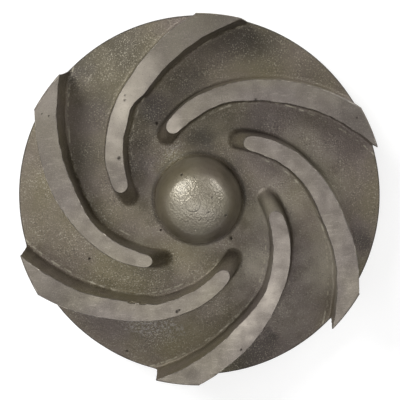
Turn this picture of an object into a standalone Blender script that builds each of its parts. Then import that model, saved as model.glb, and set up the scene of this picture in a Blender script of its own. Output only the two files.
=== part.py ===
"""Semi-open pump impeller: one casting with six swept vanes, a domed nose and a bored rear hub.

Units are metres and +Z is up. The impeller lies on the end face of its rear hub, with the vanes
and the nose facing up. The origin is the middle of that end face, on the axis of rotation.
"""

import math

import bmesh
import bpy
import numpy as np
from mathutils import Matrix, Vector

MM = 0.001

# Driving dimensions
OUTER_RADIUS = 76.2 * MM
HUB_LENGTH = 12.0 * MM          # rear hub, from its end face to the back of the shroud
RIM_THICKNESS = 6.5 * MM
SHROUD_RISE = 4.2 * MM          # how far the shroud's front stands above the rim, inside CONE_RADIUS
CONE_RADIUS = 46.0 * MM
VANE_HEIGHT = 19.6 * MM         # machined vane tops above the front edge of the rim
NOSE_HEIGHT = 33.0 * MM         # crown of the nose above the front edge of the rim
VANE_COUNT = 6

# Vane shape
SPIRAL_ANGLE = math.radians(28.6)       # between the convex side and the tangent, at every radius
TIP_ANGLE = math.radians(30.0)          # where the first vane's convex side meets the rim
THIN_VANE = 7.0 * MM                    # thickness at the eye
THICK_VANE = 8.8 * MM                   # thickness at the rim
THICKENS_FROM = 55.0 * MM
THICKENS_TO = 65.0 * MM
DRAFT = math.radians(3.0)
ROOT_FILLET = 2.4 * MM
NOSE_START = 36.5 * MM                  # radius where the vane's round leading edge begins, at its top
NOSE_REACH = 3.0 * MM                   # how far the leading edge runs past that start
NOSE_SKEW = 0.25                        # the convex side runs on further than the concave one
LEADING_RAKE = 6.4 * MM                 # how far the foot of the leading edge lies ahead of its top
STATIONS = 16
NOSE_STATIONS = 5
FILLET_STEPS = 3
FILLET_END = math.radians(70.0)         # the fillet stops short of level, so it meets the shroud crisply

# Nose and rear hub
CROWN_RADIUS = 22.0 * MM                # ball radius of the nose's crown
CROWN_EDGE = 11.8 * MM                  # radius of the ring where the crown meets the side
SIDE_CENTRE = 7.9 * MM                  # the side is an arc of an ellipse about this radius
SIDE_REACH = 10.0 * MM
SIDE_FOOT = 3.4 * MM                    # height of the ellipse's middle above the shroud
NOSE_FILLET = 2.2 * MM
HUB_RADIUS = 19.0 * MM
HUB_FILLET = 3.0 * MM
EDGE_CHAMFER = 0.8 * MM
BACK_RECESS = 1.0 * MM                  # the cast part of the back lies this far below its turned rings
RECESS_INNER = 27.0 * MM
RECESS_OUTER = 70.0 * MM
RECESS_SLOPE = 1.6 * MM

# Blind bore for the shaft's threaded end
BORE_RADIUS = 8.7 * MM
BORE_DEPTH = 36.0 * MM
DRILL_POINT = 5.0 * MM
PILOT_RADIUS = 9.7 * MM
PILOT_DEPTH = 4.0 * MM
MOUTH_CHAMFER = 1.0 * MM

# Allowances for machining, removed again by the cutters
STOCK = 1.5 * MM
OVERRUN = 12.0 * MM                     # how far a vane runs past the rim before it is turned off
SINK = 1.5 * MM                         # how far a vane's root reaches into the shroud
TURNING_STEPS = 60
BORE_STEPS = 30

BACK = HUB_LENGTH
RIM_FRONT = BACK + RIM_THICKNESS
FLOOR = RIM_FRONT + SHROUD_RISE
VANE_TOP = RIM_FRONT + VANE_HEIGHT
CROWN = RIM_FRONT + NOSE_HEIGHT

IRON_COLOUR = (0.25, 0.235, 0.215, 1.0)


def smooth_step(low, high, value):
    share = min(1.0, max(0.0, (value - low) / (high - low)))
    return share * share * (3.0 - 2.0 * share)


def shroud_height(radius):
    """Height of the shroud's front face: level round the nose, then a soft slope down to the rim."""
    return RIM_FRONT + SHROUD_RISE * (1.0 - smooth_share(radius))


def smooth_share(radius):
    """0 inside CONE_RADIUS, rising as a parabola to 1 at the rim."""
    share = max(0.0, (radius - CONE_RADIUS) / (OUTER_RADIUS - CONE_RADIUS))
    return share ** 1.5


def arc(centre, size, start, end, count):
    """Points (radius, height) on an arc, with size as (reach, rise) and angles in degrees from +X."""
    return [
        (centre[0] + size[0] * math.cos(math.radians(a)), centre[1] + size[1] * math.sin(math.radians(a)))
        for a in np.linspace(start, end, count)
    ]


def iron():
    material = bpy.data.materials.new("cast_iron")
    material.use_nodes = True
    shader = material.node_tree.nodes["Principled BSDF"]
    shader.inputs["Base Color"].default_value = IRON_COLOUR
    shader.inputs["Metallic"].default_value = 0.8
    shader.inputs["Roughness"].default_value = 0.55
    return material


def clear_scene():
    for old in list(bpy.data.objects):
        bpy.data.objects.remove(old, do_unlink=True)


def new_collection(name):
    collection = bpy.data.collections.new(name)
    bpy.context.scene.collection.children.link(collection)
    return collection


def turned(name, profile, steps, collection, closed=False):
    """A shape turned about Z from a profile of (radius, height), listed down its outer side."""
    mesh = bpy.data.meshes.new(name)
    edges = [(i, i + 1) for i in range(len(profile) - 1)]
    if closed:
        edges.append((len(profile) - 1, 0))
    mesh.from_pydata([(r, 0.0, z) for r, z in profile], edges, [])
    shape = bpy.data.objects.new(name, mesh)
    collection.objects.link(shape)
    screw = shape.modifiers.new("turn", "SCREW")
    screw.steps = screw.render_steps = steps
    screw.use_merge_vertices = True
    screw.merge_threshold = 0.00001
    return shape


def nose_profile():
    """Crown, side and foot of the domed nose."""
    crown_centre = CROWN - CROWN_RADIUS
    edge_angle = math.degrees(math.acos(CROWN_EDGE / CROWN_RADIUS))
    crown = arc((0.0, crown_centre), (CROWN_RADIUS, CROWN_RADIUS), 90.0, edge_angle, 4)
    crown[0] = (0.0, CROWN)
    side_middle = FLOOR + SIDE_FOOT
    lean = math.acos((CROWN_EDGE - SIDE_CENTRE) / SIDE_REACH)
    rise = (crown[-1][1] - side_middle) / math.sin(lean)
    side = arc((SIDE_CENTRE, side_middle), (SIDE_REACH, rise), math.degrees(lean), 0.0, 6)
    foot_centre = (SIDE_CENTRE + SIDE_REACH + NOSE_FILLET, FLOOR + NOSE_FILLET)
    foot = arc(foot_centre, (NOSE_FILLET, NOSE_FILLET), 180.0, 270.0, 3)
    return crown + side[1:] + foot


def shroud_profile():
    """Front of the shroud, its rim with turning stock, its back and the rear hub."""
    rim = OUTER_RADIUS + STOCK
    front = [(r, shroud_height(r)) for r in np.linspace(CONE_RADIUS, OUTER_RADIUS, 5)]
    front.append((rim, RIM_FRONT - (STOCK * 0.3)))
    recess = BACK + BACK_RECESS
    back = [
        (rim, BACK),
        (RECESS_OUTER, BACK),
        (RECESS_OUTER - RECESS_SLOPE, recess),
        (RECESS_INNER + RECESS_SLOPE, recess),
        (RECESS_INNER, BACK),
    ]
    hub = arc((HUB_RADIUS + HUB_FILLET, BACK - HUB_FILLET), (HUB_FILLET, HUB_FILLET), 90.0, 180.0, 3)
    end = [(HUB_RADIUS, EDGE_CHAMFER), (HUB_RADIUS - EDGE_CHAMFER, 0.0), (0.0, 0.0)]
    return front + back + hub + end


def bore_profile():
    """Pilot, threaded length and drill point of the blind bore, listed from the drill point down."""
    return [
        (0.0, BORE_DEPTH + DRILL_POINT),
        (BORE_RADIUS, BORE_DEPTH),
        (BORE_RADIUS, PILOT_DEPTH),
        (PILOT_RADIUS, PILOT_DEPTH),
        (PILOT_RADIUS, MOUTH_CHAMFER),
        (PILOT_RADIUS + MOUTH_CHAMFER + STOCK, -STOCK),
        (0.0, -STOCK),
    ]


def lathe_profile():
    """What the lathe takes off: all outside the rim, and all above the vane tops beside the nose."""
    outside = OUTER_RADIUS + OVERRUN + 2.0 * STOCK
    beside_nose = HUB_RADIUS + STOCK
    above = CROWN + STOCK
    return [
        (beside_nose, above),
        (outside, above),
        (outside, -STOCK),
        (OUTER_RADIUS, -STOCK),
        (OUTER_RADIUS, VANE_TOP),
        (beside_nose, VANE_TOP),
    ]


def vane_thickness(radius):
    return THIN_VANE + (THICK_VANE - THIN_VANE) * smooth_step(THICKENS_FROM, THICKENS_TO, radius)


def spiral_frame(radius):
    """Point on the convex side, its outward run along the vane and its normal towards the concave side."""
    angle = TIP_ANGLE + math.log(OUTER_RADIUS / radius) / math.tan(SPIRAL_ANGLE)
    outward = Vector((math.cos(angle), math.sin(angle)))
    round_axis = Vector((-math.sin(angle), math.cos(angle)))
    along = outward * math.sin(SPIRAL_ANGLE) - round_axis * math.cos(SPIRAL_ANGLE)
    across = -outward * math.cos(SPIRAL_ANGLE) - round_axis * math.sin(SPIRAL_ANGLE)
    return outward * radius, along, across


def vane_outline(grow, advance):
    """Outline of the vane seen from the front, grown by grow, with its leading edge moved inwards."""
    inner = NOSE_START - advance * math.sin(SPIRAL_ANGLE)
    outer = OUTER_RADIUS + OVERRUN
    radii = np.linspace(outer, inner, STATIONS)
    convex, concave = [], []
    for radius in radii:
        point, _, across = spiral_frame(radius)
        convex.append(point - across * grow)
        concave.append(point + across * (vane_thickness(radius) + grow))
    point, along, across = spiral_frame(inner)
    half = THIN_VANE / 2.0 + grow
    reach = NOSE_REACH + grow
    middle = point + across * THIN_VANE / 2.0
    nose = []
    for turn in np.linspace(0.0, math.pi, NOSE_STATIONS + 2)[1:-1]:
        side = -half * math.cos(turn)
        run = reach * math.sin(turn) - NOSE_SKEW * side * math.sin(turn)
        nose.append(middle + across * side - along * run)
    return convex + nose + concave[::-1]


def vane_levels():
    """(height above the shroud, growth of the outline) from the sunk root to the stock on top."""
    wall = VANE_TOP + STOCK - FLOOR
    fillet = []
    for turn in np.linspace(FILLET_END, 0.0, FILLET_STEPS):
        height = ROOT_FILLET * (1.0 - math.sin(turn))
        flare = ROOT_FILLET * (1.0 - math.cos(turn))
        fillet.append((height, flare + (wall - height) * math.tan(DRAFT)))
    return [(-SINK, fillet[0][1])] + fillet + [(wall, 0.0)]


def vane(name, turn, collection):
    """One vane, a loft through outlines that shrink with draft from its filleted root to its top."""
    levels = vane_levels()
    wall = levels[-1][0]
    shape = bmesh.new()
    rings = []
    for height, grow in levels:
        advance = LEADING_RAKE * (1.0 - max(0.0, height) / wall)
        is_top = height == wall
        ring = []
        for point in vane_outline(grow, advance):
            seat = FLOOR if is_top else shroud_height(point.length)
            ring.append(shape.verts.new((point.x, point.y, seat + height)))
        rings.append(ring)
    for lower, upper in zip(rings, rings[1:]):
        for i in range(len(lower)):
            j = (i + 1) % len(lower)
            shape.faces.new((lower[i], lower[j], upper[j], upper[i]))
    shape.faces.new(rings[0])
    shape.faces.new(rings[-1])
    bmesh.ops.recalc_face_normals(shape, faces=shape.faces)
    bmesh.ops.triangulate(shape, faces=shape.faces)
    bmesh.ops.rotate(
        shape, verts=shape.verts, cent=(0.0, 0.0, 0.0),
        matrix=Matrix.Rotation(turn, 3, "Z"),
    )
    mesh = bpy.data.meshes.new(name)
    shape.to_mesh(mesh)
    shape.free()
    made = bpy.data.objects.new(name, mesh)
    collection.objects.link(made)
    return made


def as_helper(shape):
    shape.hide_render = True
    shape.display_type = "WIRE"


def add_boolean(target, name, operation, tool):
    cut = target.modifiers.new(name, "BOOLEAN")
    cut.operation = operation
    cut.object = tool
    cut.solver = "EXACT"


def main():
    clear_scene()
    part = new_collection("pump_impeller")
    tools = new_collection("cutters_and_patterns")
    casting = turned("impeller_casting", nose_profile() + shroud_profile(), TURNING_STEPS, part)
    for i in range(VANE_COUNT):
        pattern = vane(f"vane_pattern_{i + 1}", 2.0 * math.pi * i / VANE_COUNT, tools)
        as_helper(pattern)
        add_boolean(casting, f"join_vane_{i + 1}", "UNION", pattern)
    lathe = turned("lathe_cut", lathe_profile(), TURNING_STEPS, tools, closed=True)
    bore = turned("bore_cut", bore_profile(), BORE_STEPS, tools)
    for tool in (lathe, bore):
        as_helper(tool)
        add_boolean(casting, tool.name, "DIFFERENCE", tool)
    casting.data.materials.append(iron())


main()
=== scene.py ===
"""Looks of the pump impeller, laid out as a Blender add-on and run as a script.

The rough casting is modelled and melted into one skin, then turned, ground, bored and threaded,
and finished with procedural materials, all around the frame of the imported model.
"""

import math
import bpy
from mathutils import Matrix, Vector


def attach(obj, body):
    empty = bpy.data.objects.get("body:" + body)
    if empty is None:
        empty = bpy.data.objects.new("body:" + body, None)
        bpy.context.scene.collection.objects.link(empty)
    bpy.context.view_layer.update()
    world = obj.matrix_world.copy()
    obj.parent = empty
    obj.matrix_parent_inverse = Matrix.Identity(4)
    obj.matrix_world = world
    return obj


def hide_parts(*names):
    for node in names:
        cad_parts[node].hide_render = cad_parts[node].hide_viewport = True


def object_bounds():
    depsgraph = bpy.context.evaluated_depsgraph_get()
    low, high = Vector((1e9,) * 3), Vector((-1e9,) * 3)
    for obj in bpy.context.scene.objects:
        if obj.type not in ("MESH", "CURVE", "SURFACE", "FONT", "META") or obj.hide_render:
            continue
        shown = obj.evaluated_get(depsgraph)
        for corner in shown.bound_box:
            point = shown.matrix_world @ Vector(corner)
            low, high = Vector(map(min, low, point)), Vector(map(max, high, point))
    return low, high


bl_info = {
    "name": "Pump impeller",
    "version": (1, 0, 0),
    "blender": (4, 5, 0),
    "location": "3D View > Sidebar > Impeller",
    "description": "Moulds, machines and finishes a semi-open pump impeller",
    "category": "Object",
}

import bmesh
import bpy
from bpy.props import FloatProperty, FloatVectorProperty, IntProperty, PointerProperty
from mathutils import Matrix, Vector, noise

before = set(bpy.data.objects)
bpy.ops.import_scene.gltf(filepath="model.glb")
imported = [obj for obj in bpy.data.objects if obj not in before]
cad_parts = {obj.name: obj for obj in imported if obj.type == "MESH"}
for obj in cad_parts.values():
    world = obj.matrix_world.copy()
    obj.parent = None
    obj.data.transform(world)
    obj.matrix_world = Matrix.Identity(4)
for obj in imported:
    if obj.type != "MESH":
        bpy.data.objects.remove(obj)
CAD_LOW, CAD_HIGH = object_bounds()
NODE = "impeller_casting"
MM = 0.001
NEAR = 0.01 * MM

# The spiral that the vanes follow, as a path that passes the start radius at the end of its lead
SPIRAL_ANGLE = math.radians(28.6)
TIP_ANGLE = math.radians(30.0)
START_RADIUS = 36.5 * MM
PATH_LEAD = 16.0 * MM
PATH_END = 92.0 * MM
PATH_POINTS = 160
VANE_COUNT = 6

# A vane laid out straight: its width, the tip and reach of its round leading edge, where it ends, and the
# ledge and the sunken root at its foot
VANE_WIDTH = 7.0 * MM
EDGE_TIP = PATH_LEAD - 5.3 * MM
EDGE_REACH = 3.9 * MM
EDGE_SEGMENTS = 8
VANE_END = PATH_LEAD + (PATH_END - START_RADIUS) / math.sin(SPIRAL_ANGLE) - 4.0 * MM
VANE_CUTS = 110
FILLET_TURNS = (0.0, 15.0, 30.0, 45.0, 57.0, 66.0)
LEDGE_RISE = 0.3 * MM
LEDGE_SINK = -0.02 * MM
LEDGE_WIDTH = 0.9 * MM
ROOT_SINK = 2.2 * MM

# How each vane came out of its mould, in millimetres: inner width, outer width, radii where it starts and
# ends to thicken, belly of the convex side near the eye, dip of the convex side further out, how far the foot
# of the leading edge runs ahead of its top, and how far the foot of the concave side stands out at the rim
VANE_FORMS = (
    (7.0, 9.0, 45.0, 61.0, 0.2, 0.0, 6.1, -0.8),
    (7.2, 9.4, 53.5, 57.5, 0.3, 0.7, 6.9, 1.3),
    (6.4, 9.0, 47.0, 62.0, 0.3, 0.0, 7.1, 0.3),
    (6.4, 8.9, 49.5, 60.0, 0.3, 0.7, 7.8, 0.4),
    (6.6, 9.2, 50.0, 64.0, 0.6, 0.0, 8.5, 0.0),
    (7.0, 9.2, 48.0, 60.0, 0.2, 0.4, 6.1, -1.3),
)

# Where those faults lie: (radius, reach) of belly and dip, the neck before an abrupt thickening, and the
# radii between which ripples and the foot of the concave side set in. Then how long the leading part is, how
# much it narrows at its top and further down, and how much of its lean the concave side gives up
BELLY_PLACE = (43.0 * MM, 7.0 * MM)
DIP_PLACE = (61.0 * MM, 6.0 * MM)
ABRUPT = 5.0 * MM
NECK_DEPTH = 0.6 * MM
NECK_BEFORE = 1.0 * MM
NECK_REACH = 2.0 * MM
RIPPLES_FROM = (34.0 * MM, 38.0 * MM)
FOOT_FROM = (50.0 * MM, 74.0 * MM)
LEADING_PART = 16.0 * MM
LEADING_TAPER = (0.1, 0.04)
CONCAVE_STEEPER = 0.5

# Unevenness that the sides of a vane get from the mould: height in millimetres, and wave length
COARSE_RIPPLE = (0.32, 5.0 * MM)
FINE_RIPPLE = (0.16, 1.8 * MM)
SIDE_WAVE = (0.25, 9.0 * MM)

# Unevenness of the whole cast skin: name, size of the lumps, and how high they stand
SKIN_LUMPS = (
    ("shrinkage", 14.0 * MM, 0.45 * MM),
    ("mould_wash", 3.2 * MM, 0.2 * MM),
)

# Nose, shroud and rear hub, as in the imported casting; the crown sinks a little, so that the skin's lumps
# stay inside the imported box
CROWN_RADIUS = 22.0 * MM
CROWN_EDGE = 11.8 * MM
CROWN_SINK = 0.15 * MM
SIDE_CENTRE = 7.9 * MM
SIDE_REACH = 10.0 * MM
SIDE_RISE = 3.4 * MM
NOSE_FILLET = 2.2 * MM
FALL_POWER = 1.5
HUB_RADIUS = 19.0 * MM
HUB_FILLET = 3.0 * MM
HUB_CHAMFER = 0.8 * MM
RECESS_DEPTH = 1.0 * MM
RECESS_RADII = (27.0 * MM, 70.0 * MM)
RECESS_SLOPE = 1.6 * MM
PILOT_RADIUS = 9.7 * MM
PILOT_DEPTH = 4.0 * MM
BORE_CHAMFER = 1.0 * MM
BORE_DEPTH = 36.0 * MM
DRILL_POINT = 5.0 * MM

# Machining: sides of the turned pieces, where the tools end beyond the casting, and the coil that cuts the
# thread, with how far it overlaps the bore and which share of the pitch half a groove takes
SIDES = {"blank": 240, "front": 360, "back": 180, "bore": 96}
TOOL_REACH = 20.0 * MM
BESIDE_NOSE = 19.5 * MM
ABOVE_NOSE = 5.0 * MM
BELOW_RIM = -10.0 * MM
BELOW_HUB = -8.0 * MM
BELOW_BORE = 4.0 * MM
THREAD_TURNS = 17
THREAD_STEPS = 40
THREAD_OVERLAP = 0.3 * MM
GROOVE_SHARE = 0.46

# Wear: how near corners are merged, how level or upright a worn face is, and where shading breaks
MERGING = 0.05 * MM
LEVEL_FACE = 0.8
UPRIGHT_FACE = 0.5
SMOOTH_ANGLE = math.radians(38.0)

# Chips out of the edges of the vane tops: x and y of the place, then length, width and depth in millimetres
CHIPS = (
    (-27.1, -41.3, 4.0, 1.0, 1.6),
    (-22.6, -41.6, 4.2, 1.2, 1.8),
    (-18.2, -41.5, 3.8, 1.0, 1.6),
)
CHIP_ROUGHNESS = 0.14 * MM

# Places on the front, as (x, y, reach, weight), the lengths in millimetres. Olive tarnish, or violet where
# the weight is below zero
TARNISH_PLACES = (
    (-34, 50, 24, 0.5), (30, 52, 16, 0.4), (-9, 12, 15, 0.7), (-34, -30, 20, 0.5), (-8, -62, 15, 0.4),
    (-8, -22, 14, 0.5), (-15, 40, 15, -0.5), (28, 34, 20, -0.6), (60, 20, 24, -0.5), (37, -32, 32, -0.7),
    (30, -62, 24, -0.7), (67, -18, 14, -0.5), (-38, -48, 18, -0.6), (3, -10, 12, -1.5),
)
# Patches where the sand grain stands out
SANDY_PLACES = (
    (-18, -56.5, 13, 1.3), (-11, 18.5, 8, 1.2), (-44, -24, 30, 0.5), (-14, -33, 20, 0.5), (8, -44, 18, 0.4),
    (-28, 22, 16, 0.4),
)
# Painted shade, darker skin, where the weight is above zero, with some real dark stains among it; painted
# light, paler skin, where it is below zero
STAINS_AND_PAINTED_LIGHT = (
    (31.2, -60, 4.5, 1.0), (68.8, -17.7, 8, 1.1), (27, -64, 11, 0.7), (18, -71, 14, 1.1), (12, 30, 12, 0.3),
    (10, 67, 16, 0.7), (28, 66, 18, 1.2), (50, 54, 14, 0.5), (27, -24, 12, -0.6), (52, -36, 14, -0.5),
    (2, -17, 8, -0.4), (-33, 63, 24, 1.2), (-52, 55, 14, 1.3), (-42, 40, 16, 0.9), (-47, 18, 13, 0.9),
    (-8, 42, 20, 0.6), (-3, 50, 12, 0.4), (-21, 36, 12, 1.1), (-27, 24, 8, 0.5), (-28, 12, 9, 0.8),
    (2, 25, 9, 1.3), (27, 30, 12, 0.5), (18, 66, 14, 0.5), (15, 14, 7, 0.6), (-18, -8, 5, 0.5),
    (38, 22, 16, -0.5), (50, 18, 12, -0.3), (31, -4, 16, -0.7), (30, -12, 9, -0.4), (54, -12, 12, -0.4),
    (56, -26, 18, -0.9), (36, -50, 18, -0.3), (22, -30, 14, -0.6), (52, 6, 16, -0.5), (-25, -21, 9, -0.5),
    (-2, 17, 7, -0.4), (9, 1, 7, -0.5), (19.5, 2, 6, 0.6), (1, -11, 9, -0.7),
)
# Painted sheen, paler stretches of the vane tops, or painted shade, duller ones, where the weight is below
# zero
PAINTED_TOP_SHEEN_AND_SHADE = (
    (-35, 26, 16, 0.5), (-30, 41, 14, 1.2), (-23, 54, 12, 0.8), (-11, 30, 8, 0.9), (34, -22, 16, 0.3),
    (18, -54, 12, 0.2), (28, -38, 12, 0.7), (18, -48, 14, 0.6), (-62, 42, 14, 0.45), (-62, 10, 16, -0.3),
    (8, 46, 12, -0.3), (-3, -40, 10, -0.3), (62, 30, 18, -0.9), (-56, -40, 18, -0.8), (-37, 9, 10, -0.6),
    (-4, -70, 10, -0.5), (8, 74, 12, -0.5), (41, -5, 10, -0.5),
)
# Single pores of the casting
PORES = (
    (-46.1, -25.8, 0.7, 1.0), (-15.8, -13.4, 0.6, 0.8), (-30.6, -66.1, 0.7, 0.8), (-17.5, 31.4, 0.9, 0.8),
    (13.6, -16.7, 0.9, 0.8), (-6.3, 11.9, 0.7, 0.8), (11.5, -4.3, 0.7, 0.8), (6.0, 3.0, 0.6, 0.7),
    (4.6, -2.8, 0.6, 0.7), (1.8, -5.2, 0.5, 0.6), (-0.6, -9.8, 0.5, 0.6), (-1.0, 11.0, 0.5, 0.6),
    (-31.9, 18.0, 1.1, 1.0), (-8.5, -45.2, 0.9, 1.0), (-7.6, -44.6, 0.7, 0.8), (-63.0, 35.8, 0.6, 0.8),
    (-60.2, 35.0, 0.6, 0.8), (-29.4, 41.5, 0.8, 0.7), (-29.3, 43.4, 0.6, 0.6), (23.5, 41.9, 0.9, 0.7),
    (64.2, 34.4, 0.6, 0.8), (17.9, -61.0, 0.7, 0.8), (7.5, -71.8, 0.7, 0.8),
)
# Patches with a whitish bloom
CHALKY_PLACES = (
    (-28.8, -53.4, 6, 0.5), (-23.7, -55.6, 6, 0.6), (-18.6, -55.0, 6, 0.6), (-13.0, -55.4, 6, 0.6),
    (-7.9, -56.6, 4, 0.5), (-43.0, -50.0, 5, 0.3), (-11.0, 19.0, 6, 0.5),
)

# Where the finishes lie, in millimetres. Heights, depths and radii run from none to all of a finish; a band
# has its middle and its reach; the vanes widen between two radii from one width to another
FRONT_HEIGHTS = (14.5, 16.5)
HAMMERED_DEPTHS = (6.5, 3.0)
HAMMERED_RADII = (15.5, 9.0)
NOSE_HEIGHTS = (1.0, 3.0)
NOSE_RADII = (20.5, 19.5)
# The next two place the painted shade round the nose's foot
NOSE_SHADE_HEIGHTS = (4.0, 1.0)
NOSE_SHADE_BAND = (19.4, 1.1)
VANE_RADII = (30.0, 35.0)
VANE_WIDENS = (48.0, 61.0, 6.8, 9.1)
EYE_RADII = (54.0, 46.0)
FOOT_HEIGHTS = (3.0, 0.5)
LEDGE_BAND = (1.45, 0.5)
# The next three place painted shade in the corners at the vanes' feet and along the rim's edge
CORNER_SHADE_BAND = (1.2, 1.0)
RIM_SHADE_DEPTHS = (0.7, 0.2)
RIM_SHADE_HEIGHTS = (21.0, 20.0)
RING_BAND = (3.3, 0.6)

# Details of the finishes: middle of the ring on the crown, dents of the crown, how far the tarnish strays,
# wide grains against fine ones, where the specks take their noise, scratches, and two tones of ground metal
CROWN_RING = (-1.6 * MM, 0.6 * MM, 0.0)
DENT_SIZE = 0.75 * MM
RAGGEDNESS = 9.0 * MM
WIDE_GRAINS = 0.37
ELSEWHERE = (0.31, 0.17, 0.05)
SCRATCH_STRETCH = (0.25, 1.0, 1.0)
GROUND_TONES = ((0.88, 0.86, 0.9), (1.08, 1.08, 0.98))
FLAT = (1.0, 1.0, 0.0)
WHITE = (1.0, 1.0, 1.0, 1.0)

# How the photograph was taken, found by laying the casting's outline over it: tilt and turn in degrees,
# distance in outer radii, pixels to one outer radius on the rim's plane, and the rim's offset in pixels
CAMERA_TILT = 5.9
CAMERA_TURN = -1.24
CAMERA_DISTANCE = 6.81
PIXELS_PER_RADIUS = 180.44
PIXEL_OFFSET = (-1.21, 2.56)
PICTURE_WIDTH = 400.0
SENSOR_WIDTH = 36.0

# Each square soft light: name, azimuth and elevation in degrees, width in metres, and where its power is kept
LAMPS = (
    ("key_light", 136.0, 40.0, 0.45, "key_power"),
    ("second_light", 42.0, 25.0, 0.45, "second_power"),
    ("overhead_light", 270.0, 81.0, 0.45, "overhead_power"),
    ("left_light", 196.0, 54.0, 0.6, "left_power"),
    ("right_light", 315.0, 55.0, 0.5, "right_power"),
)
LAMP_DISTANCE = 0.9
FLOOR_WIDTH = 6.0
FLOOR_HEIGHT = -0.02 * MM


def length(name, description, default):
    return FloatProperty(
        name=name, description=description, default=default, min=0.0, precision=5,
        unit="LENGTH", subtype="DISTANCE",
    )


def tint(name, description, default):
    return FloatVectorProperty(
        name=name, description=description, default=default, size=3, min=0.0, max=1.0, subtype="COLOR"
    )


def fraction(name, description, default):
    return FloatProperty(
        name=name, description=description, default=default, min=0.0, max=1.0, subtype="FACTOR"
    )


def watts(name, description, default):
    return FloatProperty(name=name, description=description, default=default, min=0.0, unit="POWER")


def amount(name, description, default):
    return FloatProperty(name=name, description=description, default=default, min=0.0)


class ImpellerSizes(bpy.types.PropertyGroup):
    """Sizes of the rough casting and of its machined faces"""

    outer_radius: length("Outer radius", "Rim and vane tips after turning", CAD_HIGH[0])
    crown_height: length("Nose height", "Crown above the end of the rear hub", CAD_HIGH[2] - CROWN_SINK)
    vane_top: length("Vane top", "Ground tops of the vanes above the end of the rear hub", 38.1 * MM)
    floor_height: length("Eye height", "Shroud round the nose above the end of the rear hub", 22.7 * MM)
    rim_height: length("Rim height", "Front edge of the rim above the end of the rear hub", 18.5 * MM)
    back_height: length("Back height", "Rear lands of the shroud above the end of the hub", 12.0 * MM)
    cone_radius: length("Cone start", "Radius where the shroud starts to fall towards the rim", 46.0 * MM)
    vane_draft: FloatProperty(
        name="Draft", description="Lean of the vane walls", default=math.radians(3.0), subtype="ANGLE"
    )
    root_fillet: length("Root fillet", "Fillet between vane walls and shroud", 1.1 * MM)
    stock: length("Stock", "Metal left on the rough casting for machining", 1.5 * MM)
    bore_radius: length("Bore", "Radius of the tapping drill", 8.7 * MM)
    thread_depth: length("Thread depth", "Depth of the thread grooves in the bore", 0.85 * MM)
    thread_pitch: length("Thread pitch", "Rise of the thread in one turn", 1.59 * MM)
    broken_edge: length("Broken edge", "Width of the worn edge around machined faces", 0.22 * MM)
    rim_edge: length("Rim edge", "Width of the dull broken edge around the rim", 0.4 * MM)
    skin_detail: length("Skin detail", "Size of the finest forms in the cast skin", 0.46 * MM)
    triangle_limit: IntProperty(
        name="Triangles", description="Most triangles in the cast skin", default=150000, min=1000
    )


class ImpellerFinish(bpy.types.PropertyGroup):
    """Colours and roughness of the cast and machined metal"""

    olive_skin: tint("Olive skin", "Cast skin where oil has stained it", (0.144, 0.122, 0.072))
    violet_skin: tint("Violet skin", "Cast skin with a brown tarnish", (0.136, 0.109, 0.095))
    swept_skin: tint("Swept skin", "Smooth sides of the nose", (0.175, 0.15, 0.105))
    # Dirt colour, used also for painted shade in corners, round the nose's foot, along the rim and in spots
    dirt_and_shade: tint("Dirt", "Grime in corners and against walls", (0.022, 0.018, 0.014))
    # Dust colour, used also for painted light in pale spots and painted glints along the vanes' ledges
    dust_and_painted_light: tint("Dust", "Pale residue of moulding sand", (0.34, 0.31, 0.24))
    chalk: tint("Chalk", "Whitish bloom", (0.38, 0.36, 0.35))
    ground_metal: tint("Ground metal", "Tops of the vanes", (0.141, 0.126, 0.108))
    turned_metal: tint("Turned metal", "Rim, back and hub", (0.3, 0.275, 0.24))
    # Bright metal of worn edges and scratches, used also for painted sheen on stretches of the vane tops
    bright_metal_and_sheen: tint("Bright metal", "Worn edges", (0.42, 0.38, 0.32))
    skin_roughness: fraction("Skin roughness", "Gloss of the cast skin", 0.5)
    ground_roughness: fraction("Ground roughness", "Gloss of the vane tops", 0.36)
    grain_size: length("Grain size", "Grains of the sand mould", 0.55 * MM)


class ImpellerStudio(bpy.types.PropertyGroup):
    """Light of the photograph"""

    key_power: watts("Key light", "Soft light from the upper left", 6.8)
    second_power: watts("Second light", "Low light from the upper right", 3.4)
    overhead_power: watts("Overhead light", "Light beside the camera", 2.0)
    left_power: watts("Left fill", "Soft light from the lower left", 1.8)
    right_power: watts("Right fill", "Soft light from the lower right", 1.0)
    ambient: amount("Ambient", "Brightness of the studio walls", 0.02)
    floor_colour: tint("Floor", "Paint of the studio floor", (0.5, 0.5, 0.5))
    floor_glow: amount("Floor glow", "Light from within the floor", 0.62)


def clear_selection():
    if bpy.context.object and bpy.context.object.mode != "OBJECT":
        bpy.ops.object.mode_set(mode="OBJECT")
    bpy.ops.object.select_all(action="DESELECT")


def take(*objects):
    """Selects these objects alone; the last one is active."""
    clear_selection()
    for piece in objects:
        piece.select_set(True)
    bpy.context.view_layer.objects.active = objects[-1]


def find(name):
    piece = bpy.data.objects.get(name)
    if piece is None:
        raise RuntimeError(f"{name} isn't there yet: its own operator runs first")
    return piece


def named(name):
    """Names the active object and settles its place into its mesh."""
    piece = bpy.context.object
    piece.name = name
    piece.data.name = name
    bpy.ops.object.transform_apply(location=True, rotation=True, scale=True)
    return piece


def edit_all(kind="VERT"):
    """Opens the active object in edit mode with everything selected."""
    bpy.ops.object.mode_set(mode="EDIT")
    bpy.ops.mesh.select_mode(type=kind)
    bpy.ops.mesh.select_all(action="SELECT")


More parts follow.
